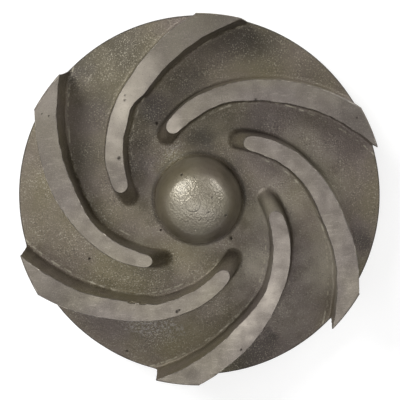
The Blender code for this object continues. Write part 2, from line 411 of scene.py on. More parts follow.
def pick(piece, test, kind="VERT"):
    """Selects, in edit mode, the vertices, edges or faces of the piece that pass the test."""
    bpy.ops.mesh.select_mode(type=kind)
    bpy.ops.mesh.select_all(action="DESELECT")
    shape = bmesh.from_edit_mesh(piece.data)
    for part in {"VERT": shape.verts, "EDGE": shape.edges, "FACE": shape.faces}[kind]:
        if test(part):
            part.select_set(True)
    shape.select_flush_mode()
    bmesh.update_edit_mesh(piece.data)


def pick_level(piece, height):
    """Selects, in edit mode, the faces whose middle lies at this height."""
    pick(piece, lambda face: abs(face.calc_center_median().z - height) < NEAR, "FACE")


def extrude_up(rise):
    bpy.ops.mesh.extrude_region_move(TRANSFORM_OT_translate={"value": (0.0, 0.0, rise)})


def resize(x, y, z, centre=(0.0, 0.0, 0.0)):
    bpy.ops.transform.resize(value=(x, y, z), center_override=centre)


def shift(x, y, z):
    bpy.ops.transform.translate(value=(x, y, z))


def apply_modifier(piece, name, kind, **settings):
    take(piece)
    modifier = piece.modifiers.new(name, kind)
    for key, value in settings.items():
        setattr(modifier, key, value)
    bpy.ops.object.modifier_apply(modifier=name)


def arc(centre, size, start, end, count):
    """Points (radius, height) on an arc; size is (reach, rise) and angles are degrees from +X."""
    points = []
    for i in range(count):
        turn = math.radians(start + (end - start) * i / (count - 1))
        points.append((centre[0] + size[0] * math.cos(turn), centre[1] + size[1] * math.sin(turn)))
    return points


def extrude_rings(profile):
    """Carries the selected disc or ring along a profile of (radius, height)."""
    for (radius, height), (next_radius, next_height) in zip(profile, profile[1:]):
        extrude_up(next_height - height)
        growth = next_radius / radius
        resize(growth, growth, 1.0, (0.0, 0.0, next_height))


def face_outwards():
    bpy.ops.mesh.select_all(action="SELECT")
    bpy.ops.mesh.normals_make_consistent(inside=False)
    bpy.ops.object.mode_set(mode="OBJECT")


def first_ring(name, profile, sides, fill):
    clear_selection()
    radius, height = profile[0]
    bpy.ops.mesh.primitive_circle_add(
        vertices=sides, radius=radius, fill_type=fill, location=(0.0, 0.0, height)
    )
    return named(name)


def turned_solid(name, profile, sides):
    """A solid raised from a disc, ring by ring, from one end's middle to the other's."""
    solid = first_ring(name, profile, sides, "NGON")
    edit_all("FACE")
    extrude_rings(profile)
    face_outwards()
    return solid


def turned_ring(name, profile, sides):
    """A ring with the closed section that the profile goes round."""
    ring = first_ring(name, profile, sides, "NOTHING")
    edit_all("EDGE")
    extrude_rings(profile)
    pick(ring, lambda edge: edge.is_boundary, "EDGE")
    bpy.ops.mesh.bridge_edge_loops()
    face_outwards()
    return ring


def smooth_step(low, high, value):
    share = min(1.0, max(0.0, (value - low) / (high - low)))
    return share * share * (3.0 - 2.0 * share)


def bell(centre, reach, value):
    return math.exp(-(((value - centre) / reach) ** 2))


def shroud_height(size, radius):
    share = max(0.0, (radius - size.cone_radius) / (size.outer_radius - size.cone_radius))
    return size.rim_height + (size.floor_height - size.rim_height) * (1.0 - share ** FALL_POWER)


def blank_profile(size):
    """Nose, shroud front, rim, back and rear hub of the rough casting, from the crown down."""
    edge_angle = math.degrees(math.acos(CROWN_EDGE / CROWN_RADIUS))
    crown_centre = (0.0, size.crown_height - CROWN_RADIUS)
    crown = arc(crown_centre, (CROWN_RADIUS, CROWN_RADIUS), 88.0, edge_angle, 8)
    side_middle = size.floor_height + SIDE_RISE
    lean = math.acos((CROWN_EDGE - SIDE_CENTRE) / SIDE_REACH)
    rise = (crown[-1][1] - side_middle) / math.sin(lean)
    side = arc((SIDE_CENTRE, side_middle), (SIDE_REACH, rise), math.degrees(lean), 0.0, 12)
    foot_centre = (SIDE_CENTRE + SIDE_REACH + NOSE_FILLET, size.floor_height + NOSE_FILLET)
    foot = arc(foot_centre, (NOSE_FILLET, NOSE_FILLET), 180.0, 270.0, 6)
    rim = size.outer_radius + size.stock
    steps = 12
    front = []
    for i in range(steps + 1):
        radius = size.cone_radius + (rim - size.cone_radius) * i / steps
        front.append((radius, shroud_height(size, min(radius, size.outer_radius))))
    rough_back = size.back_height - size.stock
    recess = size.back_height + RECESS_DEPTH
    inner, outer = RECESS_RADII
    back = [
        (rim, rough_back),
        (outer + size.stock, rough_back),
        (outer - RECESS_SLOPE, recess),
        (inner + RECESS_SLOPE, recess),
        (inner - size.stock, rough_back),
    ]
    hub_radius = HUB_RADIUS + size.stock
    hub_centre = (hub_radius + HUB_FILLET, rough_back - HUB_FILLET)
    hub = arc(hub_centre, (HUB_FILLET, HUB_FILLET), 90.0, 180.0, 6)
    end = [(hub_radius, -size.stock), (1.0 * MM, -size.stock)]
    return crown + side[1:] + foot + front + back + hub + end


def spiral_path(size):
    """The convex edge of the first vane as a flat curve, from the eye outwards."""
    data = bpy.data.curves.new("vane_path", "CURVE")
    data.dimensions = "2D"
    spline = data.splines.new("POLY")
    spline.points.add(PATH_POINTS - 1)
    start = START_RADIUS - PATH_LEAD * math.sin(SPIRAL_ANGLE)
    for i, point in enumerate(spline.points):
        radius = start + (PATH_END - start) * i / (PATH_POINTS - 1)
        turn = TIP_ANGLE + math.log(size.outer_radius / radius) / math.tan(SPIRAL_ANGLE)
        point.co = (radius * math.cos(turn), radius * math.sin(turn), 0.0, 1.0)
    path = bpy.data.objects.new("vane_path", data)
    bpy.context.collection.objects.link(path)
    return path


def vane_levels(size):
    """(height, growth of the outline) of the vane's sections, from the top down."""
    wall = size.vane_top + size.stock - size.floor_height
    draft = math.tan(size.vane_draft)
    levels = []
    for turn in FILLET_TURNS:
        height = size.root_fillet * (1.0 - math.sin(math.radians(turn)))
        flare = size.root_fillet * (1.0 - math.cos(math.radians(turn)))
        levels.append((size.floor_height + LEDGE_RISE + height, flare + (wall - height) * draft))
    return levels


def straight_vane(name, size):
    """A vane laid out straight along X: convex side at Y 0, leading edge at low X, top uppermost."""
    half = VANE_WIDTH / 2.0
    edge_centre = EDGE_TIP + half
    top = size.vane_top + size.stock
    clear_selection()
    bpy.ops.mesh.primitive_plane_add(size=1.0)
    resize(VANE_END - EDGE_TIP, VANE_WIDTH, 1.0)
    shift((VANE_END + EDGE_TIP) / 2.0, -half, top)
    vane = named(name)
    bpy.ops.object.mode_set(mode="EDIT")
    pick(vane, lambda vert: vert.co.x < EDGE_TIP + NEAR)
    bpy.ops.mesh.bevel(offset=half - NEAR, segments=EDGE_SEGMENTS, affect="VERTICES")
    pick(vane, lambda edge: edge.calc_length() > 50.0 * MM, "EDGE")
    bpy.ops.mesh.subdivide(number_cuts=VANE_CUTS)
    height, width = top, VANE_WIDTH
    for next_height, growth in vane_levels(size):
        pick_level(vane, height)
        extrude_up(next_height - height)
        next_width = VANE_WIDTH + 2.0 * growth
        wider = next_width / width
        resize(1.0, wider, 1.0, (0.0, -half, next_height))
        pick(vane, lambda vert: abs(vert.co.z - next_height) < NEAR and vert.co.x < edge_centre)
        resize(wider, 1.0, 1.0, (edge_centre, -half, next_height))
        height, width = next_height, next_width
    pick(vane, lambda vert: vert.co.x < edge_centre)
    stretch = EDGE_REACH / half
    resize(stretch, 1.0, 1.0, (edge_centre, -half, height))
    shift(EDGE_REACH - half, 0.0, 0.0)
    pick_level(vane, height)
    extrude_up(LEDGE_SINK)
    ledge = height + LEDGE_SINK
    pick(vane, lambda vert: abs(vert.co.z - ledge) < NEAR and vert.co.y < -VANE_WIDTH)
    shift(0.0, -LEDGE_WIDTH, 0.0)
    pick_level(vane, ledge)
    extrude_up(-ROOT_SINK)
    face_outwards()
    return vane


def waver(x, wave, *seeds):
    """A wave in millimetres along a vane, its own for each set of seeds."""
    height, reach = wave
    return height * noise.noise((x / reach, *seeds))


def shape_vane(vane, form, size):
    """Gives the straight vane its leaning foot, its thick outer part and the waves of its own mould."""
    inner, outer, thickens, thick, belly, dip, rake, foot = (value * MM for value in form)
    wall = size.vane_top + size.stock - size.floor_height
    for vert in vane.data.vertices:
        radius = START_RADIUS + (vert.co.x - PATH_LEAD) * math.sin(SPIRAL_ANGLE)
        across = min(1.0, max(0.0, -vert.co.y / VANE_WIDTH))
        width = inner + (outer - inner) * smooth_step(thickens, thick, radius)
        if thick - thickens < ABRUPT:
            width -= NECK_DEPTH * bell(thickens - NECK_BEFORE, NECK_REACH, radius)
        ripple = waver(vert.co.x, COARSE_RIPPLE, form[0] * 9.1, form[3])
        ripple += waver(vert.co.x, FINE_RIPPLE, form[1] * 7.3, form[2])
        wave = waver(vert.co.x, SIDE_WAVE, form[3] * 3.7, form[0])
        width += ripple * MM * smooth_step(*RIPPLES_FROM, radius)
        bulge = belly * bell(*BELLY_PLACE, radius) - dip * bell(*DIP_PLACE, radius)
        past_edge = max(0.0, -vert.co.y - VANE_WIDTH)
        vert.co.y += past_edge * CONCAVE_STEEPER
        vert.co.y -= (width - VANE_WIDTH) * across
        vert.co.y += (bulge + wave * MM) * (1.0 - across)
        depth = min(1.0, 1.0 - (vert.co.z - size.floor_height) / wall)
        ahead = 1.0 - smooth_step(EDGE_TIP, EDGE_TIP + LEADING_PART, vert.co.x)
        middle = -width / 2.0
        taper = ahead * (LEADING_TAPER[0] + LEADING_TAPER[1] * depth)
        vert.co.y = middle + (vert.co.y - middle) * (1.0 - taper)
        vert.co.y -= foot * depth * across * smooth_step(*FOOT_FROM, radius)
        vert.co.x -= rake * depth * ahead


def seat_vane(vane, size):
    """Lets the foot of the vane follow the shroud down towards the rim."""
    for vert in vane.data.vertices:
        if vert.co.z < size.floor_height + size.root_fillet + 0.5 * MM:
            radius = min(vert.co.xy.length, size.outer_radius)
            vert.co.z -= size.floor_height - shroud_height(size, radius)


def make_vanes(size):
    path = spiral_path(size)
    for i, form in enumerate(VANE_FORMS):
        vane = straight_vane(f"vane_{i + 1}", size)
        shape_vane(vane, form, size)
        apply_modifier(vane, "bend", "CURVE", object=path, deform_axis="POS_X")
        seat_vane(vane, size)
        vane.rotation_euler.z = 2.0 * math.pi * i / VANE_COUNT
        named(vane.name)
    bpy.data.objects.remove(path)


def triangles(piece):
    return sum(len(face.vertices) - 2 for face in piece.data.polygons)


def fuse(pieces, name, size):
    """Joins the pieces, melts them into one skin and gives it the unevenness of a sand casting."""
    take(*pieces)
    bpy.ops.object.join()
    casting = bpy.context.object
    casting.name = name
    casting.data.name = name
    apply_modifier(casting, "melt", "REMESH", mode="VOXEL", voxel_size=size.skin_detail, adaptivity=0.0)
    apply_modifier(casting, "soften", "SMOOTH", factor=0.5, iterations=1)
    for title, scale, height in SKIN_LUMPS:
        texture = bpy.data.textures.new(title, "CLOUDS")
        texture.noise_scale = scale
        texture.noise_depth = 1
        apply_modifier(
            casting, title, "DISPLACE",
            texture=texture, strength=height, mid_level=0.5, texture_coords="LOCAL",
        )
    ratio = min(1.0, size.triangle_limit / triangles(casting))
    apply_modifier(casting, "thin_out", "DECIMATE", ratio=ratio)
    return casting


def front_tool(size):
    """Section of what turning takes off the front: all above the vane tops and all outside the rim."""
    outside = size.outer_radius + TOOL_REACH
    above = size.crown_height + ABOVE_NOSE
    rim = size.outer_radius - size.rim_edge
    top = size.vane_top - size.broken_edge
    return [
        (BESIDE_NOSE, top),
        (BESIDE_NOSE, above),
        (outside, above),
        (outside, BELOW_RIM),
        (rim, BELOW_RIM),
        (rim, top),
    ]


def back_tool(size):
    """Section of what turning takes off the back: the lands beside the recess, the hub and its end."""
    outside = size.outer_radius + TOOL_REACH
    fillet_centre = (HUB_RADIUS + HUB_FILLET, size.back_height - HUB_FILLET)
    return (
        [(2.0 * MM, BELOW_HUB), (2.0 * MM, 0.0), (HUB_RADIUS - HUB_CHAMFER, 0.0), (HUB_RADIUS, HUB_CHAMFER)]
        + arc(fillet_centre, (HUB_FILLET, HUB_FILLET), 180.0, 90.0, 7)
        + [(outside, size.back_height), (outside, BELOW_HUB)]
    )


def bore_tool(size):
    """Half section of the blind bore, from the drill point down to below the hub's end."""
    return [
        (0.5 * MM, BORE_DEPTH + DRILL_POINT),
        (size.bore_radius, BORE_DEPTH),
        (size.bore_radius, PILOT_DEPTH),
        (PILOT_RADIUS, PILOT_DEPTH),
        (PILOT_RADIUS, BORE_CHAMFER),
        (PILOT_RADIUS + BORE_CHAMFER + BELOW_BORE, -BELOW_BORE),
    ]


def thread_tool(size):
    """A coil with the section of the thread grooves, from the pilot bore up to near the end of the bore."""
    clear_selection()
    root = size.bore_radius - THREAD_OVERLAP
    reach = size.thread_depth + THREAD_OVERLAP
    quarter = math.radians(90.0)
    bpy.ops.mesh.primitive_circle_add(
        vertices=3, radius=1.0, fill_type="NOTHING", rotation=(quarter, quarter, 0.0)
    )
    coil = named("thread_cut")
    edit_all()
    low = min(vert.co.x for vert in coil.data.vertices)
    high = max(vert.co.x for vert in coil.data.vertices)
    tall = max(vert.co.z for vert in coil.data.vertices)
    resize(reach / (high - low), 1.0, size.thread_pitch * GROOVE_SHARE / tall)
    shift(root - low * reach / (high - low), 0.0, PILOT_DEPTH - 1.0 * MM)
    bpy.ops.object.mode_set(mode="OBJECT")
    apply_modifier(
        coil, "wind", "SCREW", axis="Z", angle=2.0 * math.pi, screw_offset=size.thread_pitch,
        iterations=THREAD_TURNS, steps=THREAD_STEPS, render_steps=THREAD_STEPS, use_merge_vertices=False,
    )
    bpy.ops.object.mode_set(mode="EDIT")
    pick(coil, lambda edge: edge.is_boundary, "EDGE")
    bpy.ops.mesh.fill_holes(sides=4)
    face_outwards()
    return coil


def chip_tool(size):
    """Small rough blobs where the edges of the vane tops are chipped."""
    blobs = []
    for i, (x, y, long, wide, deep) in enumerate(CHIPS):
        clear_selection()
        bpy.ops.mesh.primitive_ico_sphere_add(subdivisions=2, radius=1.0 * MM)
        blob = bpy.context.object
        blob.scale = (long / 2.0, wide / 2.0, deep)
        blob.rotation_euler.z = math.atan2(y, x) + math.pi / 2.0 + SPIRAL_ANGLE
        blob.location = (x * MM, y * MM, size.vane_top)
        named(f"chip_{i + 1}")
        edit_all()
        bpy.ops.transform.vertex_random(offset=CHIP_ROUGHNESS, uniform=1.0, normal=0.0, seed=i)
        face_outwards()
        blobs.append(blob)
    take(*blobs)
    bpy.ops.object.join()
    return named("chip_cut")


def cut(casting, tool, material):
    """Takes the tool's solid off the casting; the fresh faces get the material."""
    tool.data.materials.append(material)
    apply_modifier(
        casting, tool.name, "BOOLEAN",
        operation="DIFFERENCE", object=tool, solver="EXACT", material_mode="TRANSFER",
    )
    bpy.data.objects.remove(tool)


def material_index(piece, material):
    return list(piece.data.materials).index(material)


def assign_material(piece, material):
    """Gives the faces that are selected in edit mode this material."""
    piece.active_material_index = material_index(piece, material)
    bpy.ops.object.material_slot_assign()


def break_edges(casting, test, width, material):
    """Insets the faces that pass the test, raises them as much, and gives their sloping border a finish."""
    take(casting)
    bpy.ops.object.mode_set(mode="EDIT")
    pick(casting, test, "FACE")
    bpy.ops.mesh.inset(thickness=width, depth=width, use_select_inset=True, use_even_offset=False)
    assign_material(casting, material)
    bpy.ops.object.mode_set(mode="OBJECT")


def material_named(name):
    """The material of that name, made empty for now if its operator hasn't run."""
    return bpy.data.materials.get(name) or bpy.data.materials.new(name)


def is_socket(value):
    return isinstance(value, bpy.types.NodeSocket)


def fill_in(node, inputs):
    """Links each input of the node, by name or number, from a socket, or sets it to a value."""
    for key, value in inputs.items():
        if is_socket(value):
            node.id_data.links.new(value, node.inputs[key])
        else:
            node.inputs[key].default_value = value


def put(tree, kind, inputs, **options):
    """Adds a shader node of this kind, with these options and inputs."""
    node = tree.nodes.new("ShaderNode" + kind)
    for key, value in options.items():
        setattr(node, key, value)
    fill_in(node, inputs)
    return node


def tree_of(*values):
    """The node tree of the first socket among the values."""
    return next(value.id_data for value in values if is_socket(value))


def work(operation, *values, clamp=False):
    """The outcome of a math node, in the tree that the values come from."""
    tree = tree_of(*values)
    return put(tree, "Math", dict(enumerate(values)), operation=operation, use_clamp=clamp).outputs[0]


def plus(first, second):
    return work("ADD", first, second)


def minus(first, second, clamp=False):
    return work("SUBTRACT", first, second, clamp=clamp)


def times(first, second, *others, clamp=False):
    """The product of two or more values; clamp holds it between 0 and 1."""
    if others:
        second = times(second, *others)
    return work("MULTIPLY", first, second, clamp=clamp)


def over(first, second):
    return work("DIVIDE", first, second)


def most(first, second):
    return work("MAXIMUM", first, second)


def weighed(total, *parts):
    """The total with each (value, weight) added to it."""
    for value, weight in parts:
        total = plus(total, times(value, weight))
    return total


def ramp(value, low, high):
    """0 at low and 1 at high, smooth between; low may be the larger."""
    inputs = {0: value, 1: low, 2: high}
    return put(value.id_data, "MapRange", inputs, interpolation_type="SMOOTHSTEP").outputs[0]


def band(value, centre, reach):
    """1 where the value is at the centre, falling to 0 at reach from it."""
    return ramp(work("ABSOLUTE", minus(value, centre)), reach, 0.0)


def vector_work(operation, first, second):
    """The vector that two others make, or the distance between them."""
    node = put(tree_of(first, second), "VectorMath", {0: first, 1: second}, operation=operation)
    return node.outputs["Value" if operation == "DISTANCE" else "Vector"]


def mix(factor, first, second):
    first, second = (value if is_socket(value) else (*value, 1.0) for value in (first, second))
    return put(factor.id_data, "Mix", {0: factor, 6: first, 7: second}, data_type="RGBA").outputs[2]


def lay_over(colour, *layers):
    """The colour with each (factor, other colour) laid over it in turn."""
    for factor, other in layers:
        colour = mix(factor, colour, other)
    return colour


def clouds(place, scale, detail):
    """Noise from 0 to 1; the scale, in waves to a metre, is a number or a socket."""
    inputs = {"Vector": place, "Scale": scale, "Detail": detail}
    return put(place.id_data, "TexNoise", inputs).outputs[0]


def grains(place, size, detail=2.0):
    """Noise from 0 to 1 with grains of that size in metres."""
    return clouds(place, 1.0 / size, detail)


def bumps(height, depth):
    """Normals for bumps of that depth in metres, from a height socket that runs from 0 to 1."""
    return put(height.id_data, "Bump", {"Height": height, "Distance": depth}).outputs[0]


def new_group(name, **inputs):
    """A shader node group with these inputs, by name and kind: its tree and its inputs' sockets."""
    tree = bpy.data.node_groups.new(name, "ShaderNodeTree")
    for label, kind in inputs.items():
        tree.interface.new_socket(name=label, in_out="INPUT", socket_type="NodeSocket" + kind)
    return tree, tree.nodes.new("NodeGroupInput").outputs


def give_out(tree, **values):
    """Makes the outputs of a node group, by name, from these sockets."""
    for label in values:
        tree.interface.new_socket(name=label, in_out="OUTPUT", socket_type="NodeSocketFloat")
    fill_in(tree.nodes.new("NodeGroupOutput"), values)


def place_group(tree, name, **inputs):
    return put(tree, "Group", inputs, node_tree=bpy.data.node_groups[name]).outputs


def guide_group(size):
    """Where a point lies beside the spiral of the nearest vane, all in millimetres."""
    tree, start = new_group("vane_guide", Place="Vector")
    place = put(tree, "SeparateXYZ", {0: start[0]}).outputs
    far = vector_work("DISTANCE", vector_work("MULTIPLY", start[0], FLAT), (0.0, 0.0, 0.0))
    angle = work("ARCTAN2", place[1], place[0])
    spiral = work("LOGARITHM", over(size.outer_radius, most(far, MM)), math.e)
    turn = plus(over(spiral, math.tan(SPIRAL_ANGLE)), TIP_ANGLE)
    pitch = 2.0 * math.pi / VANE_COUNT
    behind = work("FLOORED_MODULO", minus(turn, angle), pitch)
    radius = over(far, MM)
    reach = times(radius, math.sin(SPIRAL_ANGLE))
    give_out(
        tree,
        Radius=radius,
        Height=over(place[2], MM),
        Across=times(reach, behind),
        Before=times(reach, minus(pitch, behind)),
    )


def grain_group():
    """Grains of the sand mould: their height, bright specks and dark pores."""
    tree, start = new_group("sand_grain", Place="Vector", Scale="Float")
    place, scale = start["Place"], start["Scale"]
    fine = clouds(place, scale, 3.0)
    wide = clouds(place, times(scale, WIDE_GRAINS), 2.0)
    other = clouds(vector_work("ADD", place, ELSEWHERE), scale, 1.0)
    give_out(
        tree,
        Height=weighed(0.0, (fine, 0.6), (wide, 0.4)),
        Specks=ramp(other, 0.56, 0.7),
        Pores=ramp(other, 0.38, 0.26),
    )


def soft_spots(place, spots, total):
    """The total with each spot's weight added around its own place."""
    for x, y, reach, weight in spots:
        away = vector_work("DISTANCE", place, (x * MM, y * MM, 0.0))
        total = weighed(total, (ramp(away, reach * MM, 0.0), weight))
    return total


def tarnish_group():
    """Large and small patches of a handled, oily casting, and spots of painted shade, painted light and
    painted sheen, in place on its front.
    """
    tree, start = new_group("tarnish", Place="Vector")
    place = start["Place"]
    rough = put(tree, "TexNoise", {"Vector": place, "Scale": 1.0 / (6.0 * MM), "Detail": 3.0})
    shift = vector_work("SUBTRACT", rough.outputs[1], (0.5, 0.5, 0.5))
    shift = vector_work("MULTIPLY", shift, (RAGGEDNESS, RAGGEDNESS, RAGGEDNESS))
    ragged = vector_work("MULTIPLY", vector_work("ADD", place, shift), FLAT)
    flat = vector_work("MULTIPLY", place, FLAT)
    patches = weighed(-0.3, (grains(place, 24.0 * MM, 4.0), 1.6))
    stains = times(ramp(grains(place, 16.0 * MM), 0.62, 0.76), 0.3)
    sandy = times(ramp(grains(place, 9.0 * MM), 0.35, 0.7), 0.5)
    clumps = ramp(grains(place, 0.9 * MM), 0.45, 0.65)
    give_out(
        tree,
        Patches=ramp(soft_spots(ragged, TARNISH_PLACES, patches), 0.0, 1.0),
        Mottle=ramp(grains(place, 5.5 * MM, 3.0), 0.3, 0.7),
        # Random stains with the spots of painted shade and painted light laid in
        Stains=soft_spots(ragged, STAINS_AND_PAINTED_LIGHT, stains),
        Sandy=soft_spots(ragged, SANDY_PLACES, sandy),
        Pores=soft_spots(flat, PORES, 0.0),
        Chalk=times(soft_spots(ragged, CHALKY_PLACES, 0.0), clumps),
        # Painted sheen and painted shade on stretches of the vane tops
        Bright=soft_spots(ragged, PAINTED_TOP_SHEEN_AND_SHADE, 0.0),
    )


def marks_group():
    """Rings left by a turning tool, on flat faces and on the rim alike."""
    tree, start = new_group("tool_marks", Radius="Float", Height="Float", Feed="Float")
    turns = over(plus(start["Radius"], start["Height"]), start["Feed"])
    streaks = put(
        tree, "TexNoise", {"W": times(turns, 0.3), "Scale": 1.0, "Detail": 3.0},
        noise_dimensions="1D",
    )
    grooves = work("SINE", times(turns, 2.0 * math.pi))
    give_out(tree, Grooves=grooves, Streaks=streaks.outputs[0])


def start_material(name, metallic):
    """The tree of the material, its shader, and the place of each point in metres."""
    material = material_named(name)
    material.use_nodes = True
    tree = material.node_tree
    tree.nodes.clear()
    shader = put(tree, "BsdfPrincipled", {"Metallic": metallic})
    put(tree, "OutputMaterial", {"Surface": shader.outputs[0]})
    return tree, shader, put(tree, "TexCoord", {}).outputs["Object"]


def skin_material(size, finish):
    """Cast skin: olive and violet tarnish, sand grain, painted shade in the corners, round the nose's foot
    and along the rim, spots of painted shade and light, and the hammered crown.
    """
    tree, shader, place = start_material("cast_skin", 0.35)
    guide = place_group(tree, "vane_guide", Place=place)
    grain = place_group(tree, "sand_grain", Place=place, Scale=1.0 / finish.grain_size)
    tarnish = place_group(tree, "tarnish", Place=place)
    radius, height = guide["Radius"], guide["Height"]
    above_floor = minus(height, size.floor_height / MM)
    below_crown = minus(size.crown_height / MM, height)
    inside_rim = minus(size.outer_radius / MM, radius)

    hammered = times(ramp(below_crown, *HAMMERED_DEPTHS), ramp(radius, *HAMMERED_RADII))
    nose = times(ramp(above_floor, *NOSE_HEIGHTS), ramp(radius, *NOSE_RADII))
    swept = minus(nose, hammered, clamp=True)
    by_vane = ramp(radius, *VANE_RADII)
    low = times(ramp(above_floor, *FOOT_HEIGHTS), ramp(height, *FRONT_HEIGHTS))
    width = put(tree, "MapRange", dict(enumerate((radius, *VANE_WIDENS)))).outputs[0]
    ledge = times(band(minus(guide["Across"], width), *LEDGE_BAND), by_vane, low)
    near_eye = times(by_vane, ramp(radius, *EYE_RADII))
    # Painted shade: darker corners at the vanes' feet near the eye, a dark ring round the nose's foot and a
    # dark outline at the rim's edge
    corner = times(band(guide["Before"], *CORNER_SHADE_BAND), near_eye, low)
    rim_outline_shade = times(ramp(inside_rim, *RIM_SHADE_DEPTHS), ramp(height, *RIM_SHADE_HEIGHTS))
    nose_foot_shade = times(band(radius, *NOSE_SHADE_BAND), ramp(above_floor, *NOSE_SHADE_HEIGHTS))
    painted_shade = most(times(most(corner, nose_foot_shade), 0.4), times(rim_outline_shade, 0.7))

    sandy = plus(0.35, tarnish["Sandy"])
    specks = times(grain["Specks"], sandy, minus(1.0, swept))
    dark_grains = times(grain["Pores"], sandy, 0.8, clamp=True)
    glints = times(ledge, ramp(grains(place, 2.2 * MM), 0.45, 0.6))
    colour = lay_over(
        mix(tarnish["Patches"], finish.violet_skin, finish.olive_skin),
        (times(nose, 0.5), finish.swept_skin),
        # Painted shade and painted light in spots, over real random stains
        (times(tarnish["Stains"], 0.5, clamp=True), finish.dirt_and_shade),
        (times(tarnish["Stains"], -0.6, clamp=True), finish.dust_and_painted_light),
        (times(specks, 0.8, clamp=True), finish.dust_and_painted_light),
        (most(dark_grains, tarnish["Pores"]), finish.dirt_and_shade),
        (times(hammered, 0.35), finish.dust_and_painted_light),
        (times(glints, 0.9), finish.dust_and_painted_light),
        (times(tarnish["Chalk"], 0.75, clamp=True), finish.chalk),
        (painted_shade, finish.dirt_and_shade),
    )
    gloss = weighed(
        finish.skin_roughness - 0.08,
        (tarnish["Mottle"], 0.16), (swept, -0.1), (hammered, -0.18), (painted_shade, 0.2),
    )

    dents = put(tree, "TexVoronoi", {"Vector": place, "Scale": 1.0 / DENT_SIZE}, feature="SMOOTH_F1")
    flat = vector_work("MULTIPLY", place, FLAT)
    off_centre = over(vector_work("DISTANCE", flat, CROWN_RING), MM)
    relief = weighed(
        times(grain["Height"], weighed(1.0, (swept, -0.7))),
        (times(dents.outputs["Distance"], hammered), 0.9),
        (times(band(off_centre, *RING_BAND), hammered), -0.7),
        (tarnish["Pores"], -3.0),
    )
    fill_in(shader, {
        "Base Color": colour,
        "Roughness": gloss,
        "Normal": bumps(relief, 0.23 * MM),
        "Coat Weight": times(hammered, 0.55),
        "Coat Roughness": 0.3,
    })


def ground_material(finish):
    """Vane tops: a fine grey grind with faint patches, scratches and pores, and painted sheen and painted
    shade in stretches.
    """
    tree, shader, place = start_material("ground_face", 0.85)
    grain = place_group(tree, "sand_grain", Place=place, Scale=1.4 / finish.grain_size)
    tarnish = place_group(tree, "tarnish", Place=place)
    cool, warm = ([a * b for a, b in zip(finish.ground_metal, tone)] for tone in GROUND_TONES)
    along = put(tree, "Mapping", {"Vector": place, "Scale": SCRATCH_STRETCH}).outputs[0]
    scratches = grains(along, 0.9 * MM)
    colour = lay_over(
        mix(tarnish["Patches"], cool, warm),
        (times(ramp(scratches, 0.56, 0.76), 0.14), finish.bright_metal_and_sheen),
        # Painted sheen on stretches of the vane tops, and painted shade where the spots run below zero
        (times(tarnish["Bright"], 0.55, clamp=True), finish.bright_metal_and_sheen),
        (times(tarnish["Bright"], -0.5, clamp=True), finish.dirt_and_shade),
        (times(grain["Specks"], 0.15), finish.bright_metal_and_sheen),
        (most(times(grain["Pores"], 0.34), tarnish["Pores"]), finish.dirt_and_shade),
        (times(tarnish["Mottle"], 0.12), finish.violet_skin),
    )
    relief = weighed(0.0, (grain["Height"], 0.7), (scratches, 0.3), (tarnish["Pores"], -4.0))
    fill_in(shader, {
        "Base Color": colour,
        "Roughness": weighed(finish.ground_roughness - 0.05, (tarnish["Mottle"], 0.12)),
        "Normal": bumps(relief, 0.04 * MM),
    })


def turned_material(finish):
    """Rim, back lands, hub and bore: fine rings from the turning tool."""
    tree, shader, place = start_material("turned_face", 0.7)
    guide = place_group(tree, "vane_guide", Place=place)
    marks = place_group(tree, "tool_marks", Radius=guide["Radius"], Height=guide["Height"], Feed=0.35)
    grain = place_group(tree, "sand_grain", Place=place, Scale=1.0 / finish.grain_size)
    tarnish = place_group(tree, "tarnish", Place=place)
    colour = lay_over(
        finish.turned_metal,
        (times(marks["Streaks"], 0.5), finish.violet_skin),
        (times(tarnish["Patches"], 0.4), finish.olive_skin),
        (times(grain["Pores"], 0.2), finish.dirt_and_shade),
    )
    relief = weighed(0.0, (marks["Grooves"], 0.5), (grain["Height"], 0.6))
    fill_in(shader, {
        "Base Color": colour,
        "Roughness": weighed(finish.ground_roughness - 0.1, (marks["Streaks"], 0.2)),
        "Normal": bumps(relief, 0.02 * MM),
    })


def edge_material(finish):
    """Worn borders of the machined faces: bright where they are rubbed, dull where they aren't."""
    tree, shader, place = start_material("worn_edge", 0.8)
    rubbed = ramp(grains(place, 3.0 * MM, 3.0), 0.48, 0.66)
    fill_in(shader, {
        "Base Color": mix(rubbed, finish.ground_metal, finish.bright_metal_and_sheen),
        "Roughness": weighed(0.45, (rubbed, -0.15)),
    })


def floor_material(studio):
    tree, shader, place = start_material("floor_paint", 0.0)
    darker = [value * 0.985 for value in studio.floor_colour]
    fill_in(shader, {
        "Base Color": mix(grains(place, 0.4), studio.floor_colour, darker),
        "Roughness": 0.8,
        "Emission Color": WHITE,
        "Emission Strength": studio.floor_glow,
    })


def lay_floor(studio):
    clear_selection()
    bpy.ops.mesh.primitive_plane_add(size=FLOOR_WIDTH, location=(0.0, 0.0, FLOOR_HEIGHT))
    floor = named("floor")
    floor_material(studio)
    floor.data.materials.append(material_named("floor_paint"))


def aim_camera(size):
    tilt = Matrix.Rotation(math.radians(CAMERA_TILT), 3, "X")
    seen = tilt @ Matrix.Rotation(math.radians(CAMERA_TURN), 3, "Y")
    aside = [-value / PIXELS_PER_RADIUS for value in PIXEL_OFFSET]
    place = seen.transposed() @ Vector((*aside, CAMERA_DISTANCE)) * size.outer_radius
    data = bpy.data.cameras.new("camera")
    data.sensor_width = SENSOR_WIDTH
    data.lens = SENSOR_WIDTH * PIXELS_PER_RADIUS * CAMERA_DISTANCE / PICTURE_WIDTH
    camera = bpy.data.objects.new("camera", data)
    bpy.context.collection.objects.link(camera)
    rim_centre = Vector((0.0, 0.0, size.rim_height))
    camera.matrix_world = Matrix.Translation(place + rim_centre) @ seen.transposed().to_4x4()
    bpy.context.scene.camera = camera


